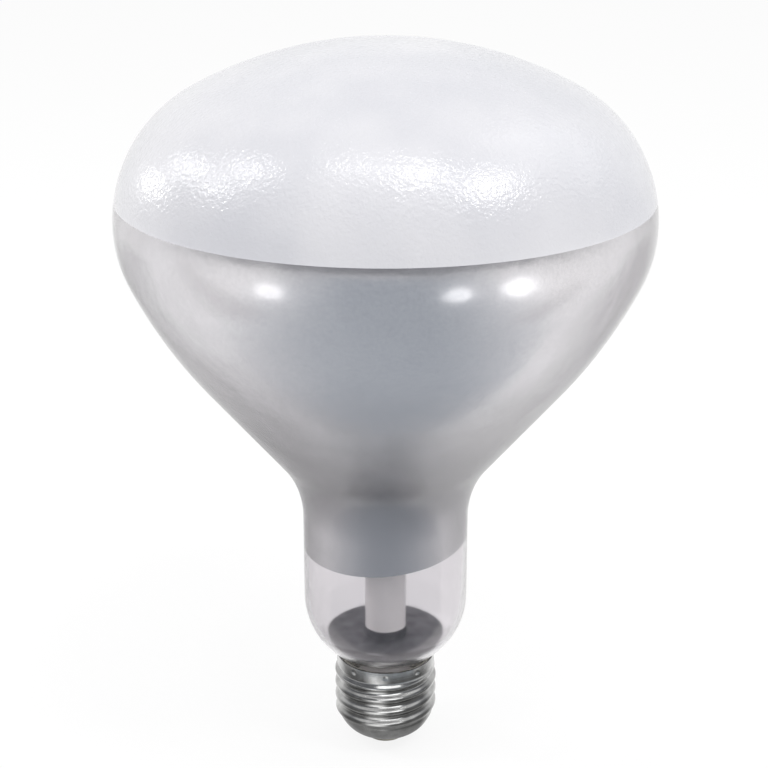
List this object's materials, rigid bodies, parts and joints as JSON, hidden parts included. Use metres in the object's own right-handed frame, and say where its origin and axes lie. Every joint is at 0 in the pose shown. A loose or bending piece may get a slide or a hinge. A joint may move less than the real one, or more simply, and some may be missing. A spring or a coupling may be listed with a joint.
{
  "type": "infrared heat lamp bulb",
  "caption": "Round-faced reflector heat lamp: a blown bulb lined with bright metal, a clear neck that shows the stem and heat shield, and a metal screw base.",
  "frame": {"origin": "tip of the end contact, on the lamp's axis", "axes": "+Z along the lamp's axis from the base to the face, -Y to the front and +X to the right of the picture"},
  "size_m": [0.127, 0.127, 0.1815],
  "materials": {
    "bulb_glass": "gloss",
    "reflector_metal": "satin",
    "stem_glass": "gloss",
    "shield_steel": "matte",
    "nickel_wire": "satin",
    "copper_wire": "satin",
    "filament_metal": "matte",
    "support_metal": "satin",
    "shell_metal": "polished",
    "cement": "matte",
    "black_glass": "gloss",
    "contact_metal": "satin",
    "solder": "satin"
  },
  "bodies": {
    "root": {"glass_bulb": "bulb_glass", "reflector_coating": "reflector_metal", "stem_flare": "stem_glass", "exhaust_tube": "stem_glass", "arbor_rod": "stem_glass", "heat_shield": "shield_steel", "inner_lead_left": "nickel_wire", "inner_lead_right": "nickel_wire", "seal_wire_left": "copper_wire", "seal_wire_right": "copper_wire", "centre_lead": "copper_wire", "side_lead": "copper_wire", "filament": "filament_metal", "filament_support_1": "support_metal", "filament_support_2": "support_metal", "filament_support_3": "support_metal", "screw_shell": "shell_metal", "capping_cement": "cement", "base_insulator": "black_glass", "contact_eyelet": "contact_metal", "contact_solder": "solder", "side_solder": "solder"}
  },
  "joints": []
}
